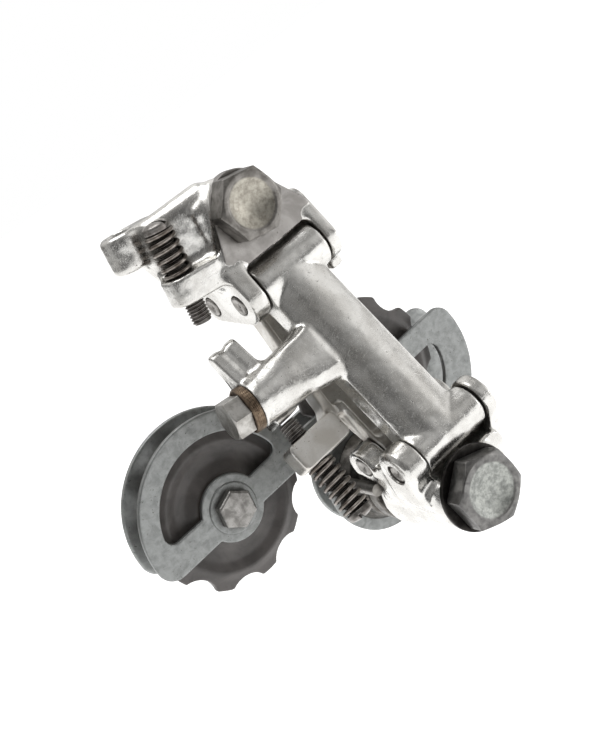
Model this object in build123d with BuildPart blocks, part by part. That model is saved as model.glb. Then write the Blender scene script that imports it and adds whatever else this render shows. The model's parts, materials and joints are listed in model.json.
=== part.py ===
from build123d import *
import os
from math import cos, pi, radians, sin, tan

os.makedirs("parts", exist_ok=True)

# Frame: the origin is on the hanger bolt's axis, at the face that meets the bicycle's hanger.
# +X is forward, +Z is up and -Y is outboard, towards a person standing beside the bicycle.
FIT = 0.03             # radial running clearance of a shaft in its bore
GAP = 0.3              # clearance between bodies that pass each other

# The parallelogram: four pins along X, at these (y, z) places.
LINK_LENGTH = 53.5
LINK_LEAN = radians(24.75)           # outboard of straight down, at rest
LINK_SPACING = 14.0                  # from the outer pins inboard to the inner pins
UPPER_OUTER = (-8.4, -19.0)
UPPER_INNER = (UPPER_OUTER[0] + LINK_SPACING, UPPER_OUTER[1])
LOWER_OUTER = (
    UPPER_OUTER[0] - LINK_LENGTH * sin(LINK_LEAN),
    UPPER_OUTER[1] - LINK_LENGTH * cos(LINK_LEAN),
)
LOWER_INNER = (LOWER_OUTER[0] + LINK_SPACING, LOWER_OUTER[1])
PIN_R = 2.5
PIN_SPAN = (-13.3, 16.9)             # x of the pins' two ends
OPEN_PIVOT_GAP = 0.3                 # the lower inner pivot runs loose

# The forked ears that carry the pins, and the barrels of the links between them.
EAR_SPANS = ((-13.0, -8.1), (13.1, 16.4))
BARREL_SPAN = (-7.7, 12.7)
EAR_OUTER_R = 6.0
EAR_INNER_R = 4.7
UPPER_BARREL_R = 6.0
LOWER_BARREL_R = 5.5
INNER_BARREL_R = 4.3

# The hanger bolt and the upper body's plate.
PLATE_FACE_Y = -11.3                 # where the bolt's head sits
PLATE_EDGE_Z = -12.0                 # the plate's lower edge, above the link's barrel
HEX_AF = 15.0
HEX_HEIGHT = 6.2
HEX_TURN = 49.5                      # how far the hexagon is turned at rest
DISH_DEPTH = 1.5
DISH_R = 6.3
SHOULDER_R = 5.6
THREAD_R = 5.0                       # M10 x 1, into the hanger
THREAD_LENGTH = 9.0
CLIP_THICK = 1.0
CLIP_R = 6.5
GROOVE_R = 4.8
GROOVE_WIDTH = 1.25
CLIP_RECESS = 1.6

# The limit screws: M5, domed slotted heads, each with a coil spring under its head.
LOW_TILT = radians(8)                # the low-gear screw and the cable stop lean rearward
HIGH_TILT = radians(4)               # the high-gear screw leans from the inner link's length
SCREW_R = 2.45
SCREW_HEAD_R = 3.3
SCREW_HEAD_HEIGHT = 2.4
SCREW_SLOT = 0.9
SPRING_WIRE_R = 0.5
SPRING_MEAN_R = 3.15
LOW_SEAT = (-20.1, -6.4, -4.8)       # where the low-gear screw's spring stands
LOW_SPRING = 11.0
LOW_BOSS = 6.6
LOW_TIP = 12.2                       # from the spring's seat to the screw's tip
HIGH_SEAT = (-21.9, -45.2, 3.7)      # x, height up the inner link, depth towards the outer link
HIGH_SPRING = 14.0
HIGH_TIP = 12.3

# The cable stop on the end of the upper body's arm.
STOP_TOP = (-23.7, 2.0, 9.9)
STOP_R = 5.0
STOP_HEIGHT = 9.3
HOUSING_R = 3.1                      # socket for the cable housing's ferrule
HOUSING_DEPTH = 6.0
CABLE_R = 1.0

# The outer link and its side arm, which ends in the cable anchor.
ARM_END_X = -27.8
ANCHOR_HEIGHT = -19.5                # height up the link of the anchor bolt's axis
ANCHOR_TILT = radians(8)
ANCHOR_WASHER = 2.4
ANCHOR_WASHER_R = 5.8
ANCHOR_R = 2.5
ANCHOR_AF = 9.0
ANCHOR_HEAD = 4.6
ANCHOR_DEPTH = 10.0

# The lower knuckle and the pivot of the cage.
PIVOT_X = -1.2
PIVOT_Z = -81.0
KNUCKLE_FACE_Y = -37.2
KNUCKLE_BACK_Y = -14.6
KNUCKLE_TOP_Z = PIVOT_Z + 6.8
KNUCKLE_R = 11.9
WASHER_THICK = 1.1
WASHER_R = 10.5
PIVOT_HEX_AF = 16.8
PIVOT_HEX_TURN = 40.0
PIVOT_HEX_HEIGHT = 5.2
PIVOT_DISH_R = 7.0
PIVOT_SHANK_R = 3.0
SPRING_BORE_R = 4.95
SPRING_FLOOR_Y = KNUCKLE_FACE_Y + 2.6

# The cage: two S-shaped plates, each a hoop over the tension pulley and a hoop under the guide pulley.
CAGE_MID_Y = 8.0
PLATE_THICK = 1.5
CAGE_GAP = 8.5
NEAR_FACE_Y = CAGE_MID_Y - CAGE_GAP / 2 - PLATE_THICK
FAR_FACE_Y = CAGE_MID_Y + CAGE_GAP / 2 + PLATE_THICK
TENSION_AXIS = (-39.6, -60.3)        # x and z of the tension pulley's axis
GUIDE_AXIS = (12.8, -61.6)
TENSION_HOOP = (-40.0, -59.4, 24.0, 18.6)    # x, z, outer radius and window radius of each hoop
GUIDE_HOOP = (18.8, -66.4, 23.6, 14.4)
HUB_R = 8.6
TENSION_BAR = (-64.8, -57.2)         # lower and upper edges of the bar under the tension hoop
GUIDE_BAR = (-64.4, -57.7)           # and of the bar over the guide hoop
MIDDLE_BAR = (-63.7, -57.5)
CAGE_DISC_R = 16.0
FAR_DISC_R = 14.5
STOP_PIN_R = 1.6
STOP_PIN_RADIUS = 14.2               # from the pivot's axis
STOP_PIN_ANGLE = 151

# The two pulleys.
TEETH = 10
TIP_R = 21.6
SCALLOP_R = 5.6
SCALLOP_DEPTH = 2.6
TOOTH_WIDTH = 2.8
PULLEY_WIDTH = 6.8
BUSH_R = 4.0
SIDE_WASHER_R = 8.2
SIDE_WASHER_THICK = 0.63
PULLEY_BOLT_R = 2.5
PULLEY_BOLT_AF = 9.0
PULLEY_BOLT_HEAD = 3.0

UP_THE_LINK = Vector(0, sin(LINK_LEAN), cos(LINK_LEAN))
OUT_OF_LINK = Vector(0, -cos(LINK_LEAN), sin(LINK_LEAN))


def outboard(y, x=0.0, z=0.0):
    """Plane at this y with x and z as its own axes; its normal points outboard."""
    return Plane(origin=(x, y, z), x_dir=(1, 0, 0), z_dir=(0, -1, 0))


def across(x, pivot=(0.0, 0.0)):
    """Plane at this x with y and z as its own axes; its normal is +X."""
    return Plane(origin=(x, pivot[0], pivot[1]), x_dir=(0, 1, 0), z_dir=(1, 0, 0))


def link_point(pivot, x, height, depth):
    """Point of a link: x across it, height up it and depth outboard of its upper pin."""
    return Vector(x, pivot[0], pivot[1]) + UP_THE_LINK * height + OUT_OF_LINK * depth


def link_face(pivot, depth):
    """Plane of a link's broad face: x across, y up the link, normal outboard."""
    return Plane(origin=link_point(pivot, 0, 0, depth), x_dir=(1, 0, 0), z_dir=OUT_OF_LINK)


def link_side(pivot, x):
    """Plane at this x with height up the link as x and depth outboard as y."""
    return Plane(origin=link_point(pivot, x, 0, 0), x_dir=UP_THE_LINK, z_dir=(1, 0, 0))


def link_end(pivot, height):
    """Plane square to the link at this height: x across and y inboard."""
    return Plane(origin=link_point(pivot, 0, height, 0), x_dir=(1, 0, 0), z_dir=UP_THE_LINK)


def rod(plane, radius, length):
    """Add a round bar that starts on the plane."""
    with BuildSketch(plane) as disc:
        Circle(radius)
    extrude(disc.sketch, amount=length)


def drill(plane, radius, depth):
    """Cut a round hole that starts on the plane."""
    with BuildSketch(plane) as disc:
        Circle(radius)
    extrude(disc.sketch, amount=depth, mode=Mode.SUBTRACT)


def along_axis(plane):
    """Plane that holds the given plane's normal as its own y, for a profile to be revolved."""
    return Plane(origin=plane.origin, x_dir=plane.x_dir, z_dir=-plane.y_dir)


def save(part, name):
    part.label = name
    export_step(part, f"parts/{name}.step")


def add_hex_head(seat, flats, height, turn, dish_depth=0.0, dish_r=1.0):
    """Add a hexagonal head that stands on the seat, with its corners turned off and its top dished."""
    corner = flats / 2 / cos(pi / 6)
    inner = flats / 2 * 0.97
    with BuildSketch(seat) as hexagon:
        RegularPolygon(radius=corner, side_count=6, rotation=turn)
    extrude(hexagon.sketch, amount=height)
    with BuildSketch(along_axis(seat)) as turned:
        with BuildLine():
            Polyline(
                (0, 0),
                (corner + 0.1, 0),
                (corner + 0.1, height - (corner - inner) * tan(pi / 6)),
                (inner, height),
                (0, height),
                close=True,
            )
        make_face()
    revolve(turned.sketch, axis=Axis(seat.origin, seat.z_dir), mode=Mode.INTERSECT)
    if dish_depth:
        ball_r = (dish_r**2 + dish_depth**2) / (2 * dish_depth)
        with Locations(seat.offset(height + ball_r - dish_depth)):
            Sphere(ball_r, mode=Mode.SUBTRACT)


def coil_spring(name, base, mean_r, wire_r, length, turns):
    """Build a coil spring of this overall length that stands on the base plane."""
    with BuildPart() as spring:
        with BuildLine():
            run = Helix(
                pitch=(length - 2 * wire_r) / turns,
                height=length - 2 * wire_r,
                radius=mean_r,
                center=base.offset(wire_r).origin,
                direction=base.z_dir,
            )
        with BuildSketch(Plane(origin=run @ 0, z_dir=run % 0)):
            Circle(wire_r)
        sweep()
    save(spring.part, name)


def limit_screw(name, seat, spring, tip):
    """Build a slotted screw whose head is a spring's length above the seat and its tip below it."""
    with BuildPart() as screw:
        with BuildSketch(along_axis(seat)):
            with BuildLine():
                top = spring + SCREW_HEAD_HEIGHT
                Polyline(
                    (0, top),
                    (0, -tip),
                    (SCREW_R - 0.6, -tip),
                    (SCREW_R, 0.6 - tip),
                    (SCREW_R, spring),
                    (SCREW_HEAD_R, spring),
                    (SCREW_HEAD_R, top - 1.2),
                )
                ThreePointArc((SCREW_HEAD_R, top - 1.2), (SCREW_HEAD_R * 0.72, top - 0.4), (0, top))
            make_face()
        revolve(axis=Axis(seat.origin, seat.z_dir))
        with BuildSketch(seat.offset(top)):
            Rectangle(SCREW_SLOT, SCREW_HEAD_R * 3)
        extrude(amount=-1.3, mode=Mode.SUBTRACT)
    save(screw.part, name)


def pivot_pin(name, pivot):
    """Build a plain pin along X with slightly rounded ends."""
    with BuildPart() as pin:
        rod(across(PIN_SPAN[0], pivot), PIN_R, PIN_SPAN[1] - PIN_SPAN[0])
        chamfer(pin.edges().filter_by(GeomType.CIRCLE), 0.3)
    save(pin.part, name)


# ---- hanger bolt and its clip ----
CLIP_Y = -0.2
with BuildPart() as hanger_bolt:
    add_hex_head(outboard(PLATE_FACE_Y), HEX_AF, HEX_HEIGHT, HEX_TURN, DISH_DEPTH, DISH_R)
    rod(outboard(0), SHOULDER_R, -PLATE_FACE_Y)
    rod(outboard(THREAD_LENGTH), THREAD_R, THREAD_LENGTH)
    chamfer(hanger_bolt.edges().filter_by(GeomType.CIRCLE).sort_by(Axis.Y)[-1], 0.8)
    # groove for the clip, between the shoulder and the thread
    with BuildSketch(outboard(0)):
        Circle(SHOULDER_R + 1)
        Circle(GROOVE_R, mode=Mode.SUBTRACT)
    extrude(amount=GROOVE_WIDTH, mode=Mode.SUBTRACT)
save(hanger_bolt.part, "hanger_bolt")

with BuildPart() as hanger_clip:
    with BuildSketch(outboard(CLIP_Y)):
        Circle(CLIP_R)
        Circle(GROOVE_R, mode=Mode.SUBTRACT)
        # the mouth that lets the clip slide over the bolt
        with Locations((0, -CLIP_R)):
            Rectangle(THREAD_R * 1.5, CLIP_R * 2, mode=Mode.SUBTRACT)
    extrude(amount=CLIP_THICK)
save(hanger_clip.part, "hanger_clip")

# ---- upper body ----
low_x = (cos(LOW_TILT), 0, -sin(LOW_TILT))
low_up = (sin(LOW_TILT), 0, cos(LOW_TILT))
arm_top = Plane(origin=STOP_TOP, x_dir=low_x, z_dir=low_up)
low_seat = Plane(origin=LOW_SEAT, x_dir=low_x, z_dir=low_up)

with BuildPart() as upper_body:
    # plate under the bolt's head: a round top that widens to a straight lower edge
    with BuildSketch(outboard(-7.6)):
        with Locations((0.8, 0.0)):
            Circle(8.2)
        with Locations((-10.2, -8.4), (-7.2, PLATE_EDGE_Z + 1), (11.2, PLATE_EDGE_Z + 1), (14.8, -9.0)):
            Circle(1.0)
        make_hull()
    extrude(amount=-7.6 - PLATE_FACE_Y)
    # collar behind the plate, which meets the hanger
    with BuildSketch(outboard(0)):
        Circle(7.5)
        with Locations((-6.0, -9.8), (13.0, -9.8)):
            Circle(2.2)
        make_hull()
    extrude(amount=7.8)
    # two ears that carry the outer and inner pins
    for left, right in EAR_SPANS:
        with BuildSketch(across(left)):
            with Locations(UPPER_OUTER):
                Circle(EAR_OUTER_R)
            with Locations(UPPER_INNER):
                Circle(EAR_INNER_R)
            with Locations((-6.6, -9.2)):
                Circle(4.0)
            make_hull()
        extrude(amount=right - left)
    # lug under the right ear that anchors the return spring
    with BuildSketch(across(EAR_SPANS[1][0] + 0.6)):
        with Locations((-4.8, -25.0)):
            RectangleRounded(6.0, 5.6, 0.6)
    extrude(amount=3.6)
    # arm to the cable stop: it widens inboard only where it is clear of the hanger
    with BuildSketch(arm_top):
        Circle(STOP_R)
        with BuildLine():
            Polyline(
                (-2.0, -4.4), (8.8, -4.4), (16.5, -8.6), (24.0, -9.4), (24.0, -2.1), (12.4, -2.1),
                (8.2, STOP_R), (0, STOP_R), close=True,
            )
        make_face()
    extrude(amount=-STOP_HEIGHT)
    # web below the arm, and the block of the limit screw in front of it
    with BuildSketch(outboard(-0.6)):
        with BuildLine():
            Polyline(
                (-14.6, 6.0), (-4.0, 4.0), (-6.0, -11.0), (-12.6, -14.0), (-15.0, -12.6), close=True
            )
        make_face()
    extrude(amount=4.4)
    with BuildSketch(low_seat):
        with Locations((3.2, 0.4)):
            RectangleRounded(15.2, 10.0, 3.6)
    extrude(amount=-LOW_BOSS)
    # soften the long edges of the arm
    fillet(
        upper_body.edges()
        .filter_by(lambda e: e.length > 6 and abs((e % 0.5).X) > 0.95)
        .filter_by(lambda e: e.center().X < -12 and e.center().Z > -3),
        1.4,
    )
    # bores: shoulder, clip, pins, screw, cable housing and cable
    drill(outboard(0), SHOULDER_R + FIT, -PLATE_FACE_Y)
    drill(outboard(0), CLIP_R + GAP, CLIP_RECESS)
    for pivot in (UPPER_OUTER, UPPER_INNER):
        drill(across(-30, pivot), PIN_R, 60)
    drill(low_seat.offset(-LOW_BOSS - 4), SCREW_R + FIT, LOW_BOSS + 6)
    drill(arm_top.offset(-HOUSING_DEPTH), HOUSING_R, HOUSING_DEPTH + 1)
    drill(arm_top.offset(-STOP_HEIGHT - 1), CABLE_R, STOP_HEIGHT)
save(upper_body.part, "upper_body")

limit_screw("limit_screw_low", low_seat, LOW_SPRING, LOW_TIP)
coil_spring("limit_spring_low", low_seat, SPRING_MEAN_R, SPRING_WIRE_R, LOW_SPRING, 6)
pivot_pin("upper_outer_pin", UPPER_OUTER)
pivot_pin("upper_inner_pin", UPPER_INNER)

# torsion spring around the upper inner pin, with a leg at each end
with BuildPart() as return_spring:
    coil_wire_r = 0.5
    with BuildLine():
        coil = Helix(pitch=1.25, height=10.0, radius=3.3, center=(-2.6, *UPPER_INNER), direction=(1, 0, 0))
    with BuildSketch(Plane(origin=coil @ 0, z_dir=coil % 0)):
        Circle(coil_wire_r)
    sweep()
    rod(Plane(origin=coil @ 0, z_dir=-(coil % 0)), coil_wire_r, 5.0)
    rod(Plane(origin=coil @ 1, z_dir=coil % 1), coil_wire_r, 5.0)
save(return_spring.part, "return_spring")

# ---- outer link ----
anchor_seat = Plane(
    origin=link_point(UPPER_OUTER, ARM_END_X, ANCHOR_HEIGHT, 0),
    x_dir=UP_THE_LINK * cos(ANCHOR_TILT) + Vector(sin(ANCHOR_TILT), 0, 0),
    z_dir=UP_THE_LINK * sin(ANCHOR_TILT) - Vector(cos(ANCHOR_TILT), 0, 0),
)
with BuildPart() as outer_link:
    # crowned body, flush with the two barrels at its ends
    with BuildSketch(link_end(UPPER_OUTER, UPPER_BARREL_R)):
        with BuildLine():
            Polyline((-7.2, -2.2), (-7.2, 4.2), (9.7, 4.2), (9.7, -2.2))
            ThreePointArc((9.7, -2.2), (1.2, -5.7), (-7.2, -2.2))
        make_face()
    extrude(amount=-LINK_LENGTH - UPPER_BARREL_R - LOWER_BARREL_R)
    with BuildSketch(link_side(UPPER_OUTER, -10)):
        Circle(UPPER_BARREL_R)
        with Locations((-LINK_LENGTH, 0)):
            Circle(LOWER_BARREL_R)
        make_hull()
    extrude(amount=25, mode=Mode.INTERSECT)
    rod(across(BARREL_SPAN[0], UPPER_OUTER), UPPER_BARREL_R, BARREL_SPAN[1] - BARREL_SPAN[0])
    rod(across(BARREL_SPAN[0], LOWER_OUTER), LOWER_BARREL_R, BARREL_SPAN[1] - BARREL_SPAN[0])
    # hollow back
    with BuildSketch(link_face(UPPER_OUTER, -4.6)):
        with Locations((1.2, -LINK_LENGTH / 2)):
            RectangleRounded(10.0, 35.0, 2.5)
    extrude(amount=5.0, mode=Mode.SUBTRACT)
    # side arm, tapering to the boss of the cable anchor
    with BuildSketch(link_side(UPPER_OUTER, -6.0)):
        with Locations((-20.2, 0.2)):
            RectangleRounded(14.4, 8.6, 2.5)
    with BuildSketch(anchor_seat):
        Circle(ANCHOR_WASHER_R)
    loft()
    # forked guide that leads the cable to the anchor
    for left in (-27.4, -22.4):
        with BuildSketch(link_side(UPPER_OUTER, left)):
            with Locations((-6.2, -1.0)):
                Circle(1.9)
            with Locations((-15.5, -0.6)):
                Circle(3.2)
            make_hull()
        extrude(amount=2.8)
    with BuildSketch(link_side(UPPER_OUTER, -27.4)):
        with Locations((-14.2, -1.4)):
            RectangleRounded(5.0, 5.4, 1.5)
    extrude(amount=7.0)
    # stop lug that the high-gear limit screw bears on
    with BuildSketch(link_side(UPPER_OUTER, -25.2)):
        with Locations((-22.3, -6.4)):
            RectangleRounded(8.6, 9.0, 1.2)
    extrude(amount=6.6)
    # room for the washer, then the bores
    with BuildSketch(anchor_seat):
        Circle(ANCHOR_WASHER_R + GAP)
    extrude(amount=6, mode=Mode.SUBTRACT)
    drill(across(-10, UPPER_OUTER), PIN_R + FIT, 30)
    drill(across(-10, LOWER_OUTER), PIN_R + FIT, 30)
    drill(anchor_seat.offset(-ANCHOR_DEPTH), ANCHOR_R, ANCHOR_DEPTH)
save(outer_link.part, "outer_link")

with BuildPart() as anchor_washer:
    with BuildSketch(anchor_seat):
        Circle(ANCHOR_WASHER_R)
        Circle(ANCHOR_R, mode=Mode.SUBTRACT)
    extrude(amount=ANCHOR_WASHER)
    # groove under the washer, where the cable is clamped
    with BuildSketch(Plane(origin=anchor_seat.origin, x_dir=anchor_seat.z_dir, z_dir=anchor_seat.x_dir)):
        with Locations((0, ANCHOR_R + CABLE_R), (0, -ANCHOR_R - CABLE_R)):
            Circle(CABLE_R * 0.7)
    extrude(amount=ANCHOR_WASHER_R * 2, both=True, mode=Mode.SUBTRACT)
save(anchor_washer.part, "anchor_washer")

with BuildPart() as anchor_bolt:
    add_hex_head(anchor_seat.offset(ANCHOR_WASHER), ANCHOR_AF, ANCHOR_HEAD, 12)
    rod(anchor_seat.offset(-ANCHOR_DEPTH), ANCHOR_R, ANCHOR_DEPTH + ANCHOR_WASHER)
save(anchor_bolt.part, "anchor_bolt")

# ---- inner link ----
SHEET = 1.3
high_axis = UP_THE_LINK * cos(HIGH_TILT) + Vector(sin(HIGH_TILT), 0, 0)
high_seat = Plane(origin=link_point(UPPER_INNER, *HIGH_SEAT), x_dir=OUT_OF_LINK, z_dir=-high_axis)
with BuildPart() as inner_link:
    # pressed channel: a web inboard and a flange along each side
    with BuildSketch(link_face(UPPER_INNER, -2.0)):
        with BuildLine():
            Polyline(
                (BARREL_SPAN[0], -7.0), (BARREL_SPAN[0] - 2.4, -30.0), (BARREL_SPAN[0], -50.0),
                (BARREL_SPAN[1], -50.0), (BARREL_SPAN[1], -6.5), close=True,
            )
        make_face()
    extrude(amount=SHEET)
    with BuildSketch(link_side(UPPER_INNER, BARREL_SPAN[1] - SHEET)):
        with BuildLine():
            Polyline((0, 3.6), (0, -2.0), (-LINK_LENGTH, -2.0), (-LINK_LENGTH, 3.6), close=True)
        make_face()
    extrude(amount=SHEET)
    # the left flange bows outward and turns into the bracket of the high-gear limit screw
    with BuildSketch(link_face(UPPER_INNER, -2.0)):
        with BuildLine():
            Polyline(
                (BARREL_SPAN[0], 0), (BARREL_SPAN[0], -8.0), (-9.6, -20.0), (-11.2, -31.0), (-12.0, -36.0),
                (-13.4, -37.9), (-13.4, -40.0), (-9.8, -40.0), (-8.8, -31.0), (-7.8, -20.0), (-6.4, -8.0),
                (-6.4, 0), close=True,
            )
        make_face()
    extrude(amount=6.4)
    with BuildSketch(link_face(UPPER_INNER, -0.4)):
        with Locations((-19.1, -41.5)):
            RectangleRounded(15.0, 7.3, 1.4)
    extrude(amount=7.6)
    with BuildSketch(link_side(UPPER_INNER, BARREL_SPAN[0])):
        with BuildLine():
            Polyline((-38.0, 3.6), (-38.0, -2.0), (-LINK_LENGTH, -2.0), (-LINK_LENGTH, 3.6), close=True)
        make_face()
    extrude(amount=SHEET)
    # rolled eyes for the pins; the upper pair leaves room for the return spring between them
    for left in (BARREL_SPAN[0], BARREL_SPAN[1] - 4.2):
        rod(across(left, UPPER_INNER), INNER_BARREL_R, 4.2)
    rod(across(BARREL_SPAN[0], LOWER_INNER), INNER_BARREL_R, BARREL_SPAN[1] - BARREL_SPAN[0])
    drill(across(-10, UPPER_INNER), PIN_R + FIT, 30)
    drill(across(-10, LOWER_INNER), PIN_R + OPEN_PIVOT_GAP, 30)
    drill(high_seat.offset(-10), SCREW_R + FIT, 12)
save(inner_link.part, "inner_link")

limit_screw("limit_screw_high", high_seat, HIGH_SPRING, HIGH_TIP)
coil_spring("limit_spring_high", high_seat, SPRING_MEAN_R, SPRING_WIRE_R, HIGH_SPRING, 8)

# ---- lower knuckle ----
pivot_face = outboard(KNUCKLE_FACE_Y, PIVOT_X, PIVOT_Z)
with BuildPart() as lower_knuckle:
    # boss around the cage's pivot, slightly tapered towards the bolt's head, flat on top
    with BuildSketch(outboard(KNUCKLE_BACK_Y, PIVOT_X, PIVOT_Z)):
        Circle(KNUCKLE_R)
    extrude(amount=KNUCKLE_BACK_Y - KNUCKLE_FACE_Y, taper=4)
    # shoulders that spread from the boss to the ears
    with BuildSketch(outboard(-17.0, PIVOT_X, PIVOT_Z)):
        Circle(9.8)
        with Locations((-8.8, 3.6), (11.4, 3.6)):
            Circle(3.0)
        make_hull()
    extrude(amount=-17.0 - KNUCKLE_FACE_Y - 1.2)
    with BuildSketch(outboard(0, PIVOT_X, KNUCKLE_TOP_Z + 15)):
        Rectangle(60, 30)
    extrude(amount=50, mode=Mode.SUBTRACT)
    for left, right in EAR_SPANS:
        with BuildSketch(across(left)):
            with Locations(LOWER_OUTER):
                Circle(EAR_OUTER_R)
            with Locations(LOWER_INNER):
                Circle(EAR_INNER_R)
            with BuildLine():
                Polyline(
                    (LOWER_OUTER[0] - 5.4, LOWER_OUTER[1] - 2.5),
                    (LOWER_OUTER[0] + 7.0, LOWER_OUTER[1] + 0.6),
                    (LOWER_INNER[0] - 1.4, LOWER_INNER[1] - 4.4),
                    (-20.5, -76.5),
                    (-31.5, -79.0),
                    close=True,
                )
            make_face()
        extrude(amount=right - left)
    drill(pivot_face.offset(0.5), PIVOT_SHANK_R + FIT, KNUCKLE_FACE_Y)
    drill(outboard(0, PIVOT_X, PIVOT_Z), SPRING_BORE_R, -SPRING_FLOOR_Y)
    for pivot in (LOWER_OUTER, LOWER_INNER):
        drill(across(-30, pivot), PIN_R, 60)
save(lower_knuckle.part, "lower_knuckle")

pivot_pin("lower_outer_pin", LOWER_OUTER)
pivot_pin("lower_inner_pin", LOWER_INNER)
coil_spring(
    "tension_spring",
    outboard(KNUCKLE_BACK_Y - 0.4, PIVOT_X, PIVOT_Z),
    (PIVOT_SHANK_R + SPRING_BORE_R) / 2,
    0.6,
    KNUCKLE_BACK_Y - SPRING_FLOOR_Y - 0.7,
    10,
)

# ---- cage pivot ----
with BuildPart() as cage_pivot_bolt:
    head_seat = pivot_face.offset(WASHER_THICK)
    add_hex_head(head_seat, PIVOT_HEX_AF, PIVOT_HEX_HEIGHT, PIVOT_HEX_TURN, DISH_DEPTH, PIVOT_DISH_R)
    shank_end = NEAR_FACE_Y + PLATE_THICK
    rod(outboard(shank_end, PIVOT_X, PIVOT_Z), PIVOT_SHANK_R, shank_end - KNUCKLE_FACE_Y + WASHER_THICK)
save(cage_pivot_bolt.part, "cage_pivot_bolt")

with BuildPart() as cage_pivot_washer:
    with BuildSketch(pivot_face.offset(0.1)):
        Circle(WASHER_R)
        Circle(PIVOT_SHANK_R, mode=Mode.SUBTRACT)
    extrude(amount=WASHER_THICK - 0.1)
save(cage_pivot_washer.part, "cage_pivot_washer")

with BuildPart() as cage_hub:
    # flare against the near plate, grooved drum, neck close to the knuckle's back
    neck_end = NEAR_FACE_Y - KNUCKLE_BACK_Y - GAP
    with BuildSketch(along_axis(outboard(NEAR_FACE_Y, PIVOT_X, PIVOT_Z))):
        with BuildLine():
            Polyline(
                (PIVOT_SHANK_R, 0),
                (13.0, 0),
                (11.3, 3.2),
                (11.3, 7.6),
                (9.3, 8.4),
                (9.3, 9.4),
                (11.3, 10.2),
                (11.3, 13.6),
                (7.0, 14.2),
                (7.0, neck_end),
                (PIVOT_SHANK_R, neck_end),
                close=True,
            )
        make_face()
    revolve(axis=Axis((PIVOT_X, 0, PIVOT_Z), (0, 1, 0)))
    stop_angle = radians(STOP_PIN_ANGLE)
    stop_x = PIVOT_X + STOP_PIN_RADIUS * cos(stop_angle)
    stop_z = PIVOT_Z + STOP_PIN_RADIUS * sin(stop_angle)
    drill(outboard(NEAR_FACE_Y + 1, stop_x, stop_z), STOP_PIN_R, 25)
save(cage_hub.part, "cage_hub")

with BuildPart() as cage_stop_pin:
    rod(outboard(NEAR_FACE_Y, stop_x, stop_z), STOP_PIN_R, NEAR_FACE_Y - KNUCKLE_BACK_Y + 3.0)
save(cage_stop_pin.part, "cage_stop_pin")


def hoop_window(hoop, edge_z, side):
    """Sketch of the opening in a hoop, cut straight along the bar; side is 1 above it, -1 below."""
    x, z, _, window_r = hoop
    with BuildSketch() as window:
        with Locations((x, z)):
            Circle(window_r)
        with Locations((x, edge_z - side * window_r)):
            Rectangle(window_r * 2, window_r * 2, mode=Mode.SUBTRACT)
        fillet(window.vertices(), 2.6)
        with Locations(TENSION_AXIS, GUIDE_AXIS):
            Circle(HUB_R, mode=Mode.SUBTRACT)
    return window.sketch


def cage_plate(name, face_y, disc_r):
    """Build one cage plate whose outboard face is at face_y."""
    with BuildPart() as plate:
        with BuildSketch(outboard(face_y + PLATE_THICK)) as outline:
            # a hoop over the tension pulley and one under the guide pulley, each closed by a straight edge
            for (x, z, outer_r, _), edge_z, side in (
                (TENSION_HOOP, TENSION_BAR[0], 1),
                (GUIDE_HOOP, GUIDE_BAR[1], -1),
            ):
                with Locations((x, z)):
                    Circle(outer_r)
                with Locations((x, edge_z - side * outer_r)):
                    Rectangle(outer_r * 2 + 1, outer_r * 2, mode=Mode.SUBTRACT)
            corners = outline.vertices().sort_by(Axis.X)
            fillet([corners[0], corners[-1]], 4.6)
            add(hoop_window(TENSION_HOOP, TENSION_BAR[1], 1), mode=Mode.SUBTRACT)
            add(hoop_window(GUIDE_HOOP, GUIDE_BAR[0], -1), mode=Mode.SUBTRACT)
            # bar between the hoops, hubs and the disc at the pivot
            with Locations((-11.0, (MIDDLE_BAR[0] + MIDDLE_BAR[1]) / 2)):
                Rectangle(22, MIDDLE_BAR[1] - MIDDLE_BAR[0])
            with Locations(TENSION_AXIS, GUIDE_AXIS):
                Circle(HUB_R)
            with Locations((PIVOT_X, PIVOT_Z)):
                Circle(disc_r)
                Circle(PIVOT_SHANK_R, mode=Mode.SUBTRACT)
            with Locations(TENSION_AXIS, GUIDE_AXIS):
                Circle(PULLEY_BOLT_R, mode=Mode.SUBTRACT)
        extrude(amount=PLATE_THICK)
    save(plate.part, name)


cage_plate("cage_near_plate", NEAR_FACE_Y, CAGE_DISC_R)
cage_plate("cage_far_plate", FAR_FACE_Y - PLATE_THICK, FAR_DISC_R)

# ---- pulleys and their bearings ----
AXES = (TENSION_AXIS, GUIDE_AXIS)

with BuildPart() as pulley_bolts:
    for x, z in AXES:
        rod(outboard(FAR_FACE_Y + 0.8, x, z), PULLEY_BOLT_R, FAR_FACE_Y + 0.8 - NEAR_FACE_Y)
        with BuildSketch(outboard(NEAR_FACE_Y, x, z)):
            RegularPolygon(radius=PULLEY_BOLT_AF / 2 / cos(pi / 6), side_count=6, rotation=20)
        extrude(amount=PULLEY_BOLT_HEAD)
    chamfer(pulley_bolts.faces().filter_by(Axis.Y).group_by(Axis.Y)[0].edges(), 0.4)
save(pulley_bolts.part, "pulley_bolts")

with BuildPart() as pulley_bushings:
    with BuildSketch(outboard(CAGE_MID_Y + CAGE_GAP / 2)):
        with Locations(*AXES):
            Circle(BUSH_R)
            Circle(PULLEY_BOLT_R, mode=Mode.SUBTRACT)
    extrude(amount=CAGE_GAP)
save(pulley_bushings.part, "pulley_bushings")

with BuildPart() as pulley_washers:
    for start in (CAGE_MID_Y + CAGE_GAP / 2, CAGE_MID_Y - CAGE_GAP / 2 + SIDE_WASHER_THICK):
        with BuildSketch(outboard(start)):
            with Locations(*AXES):
                Circle(SIDE_WASHER_R)
                Circle(BUSH_R, mode=Mode.SUBTRACT)
        extrude(amount=SIDE_WASHER_THICK)
save(pulley_washers.part, "pulley_washers")


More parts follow.
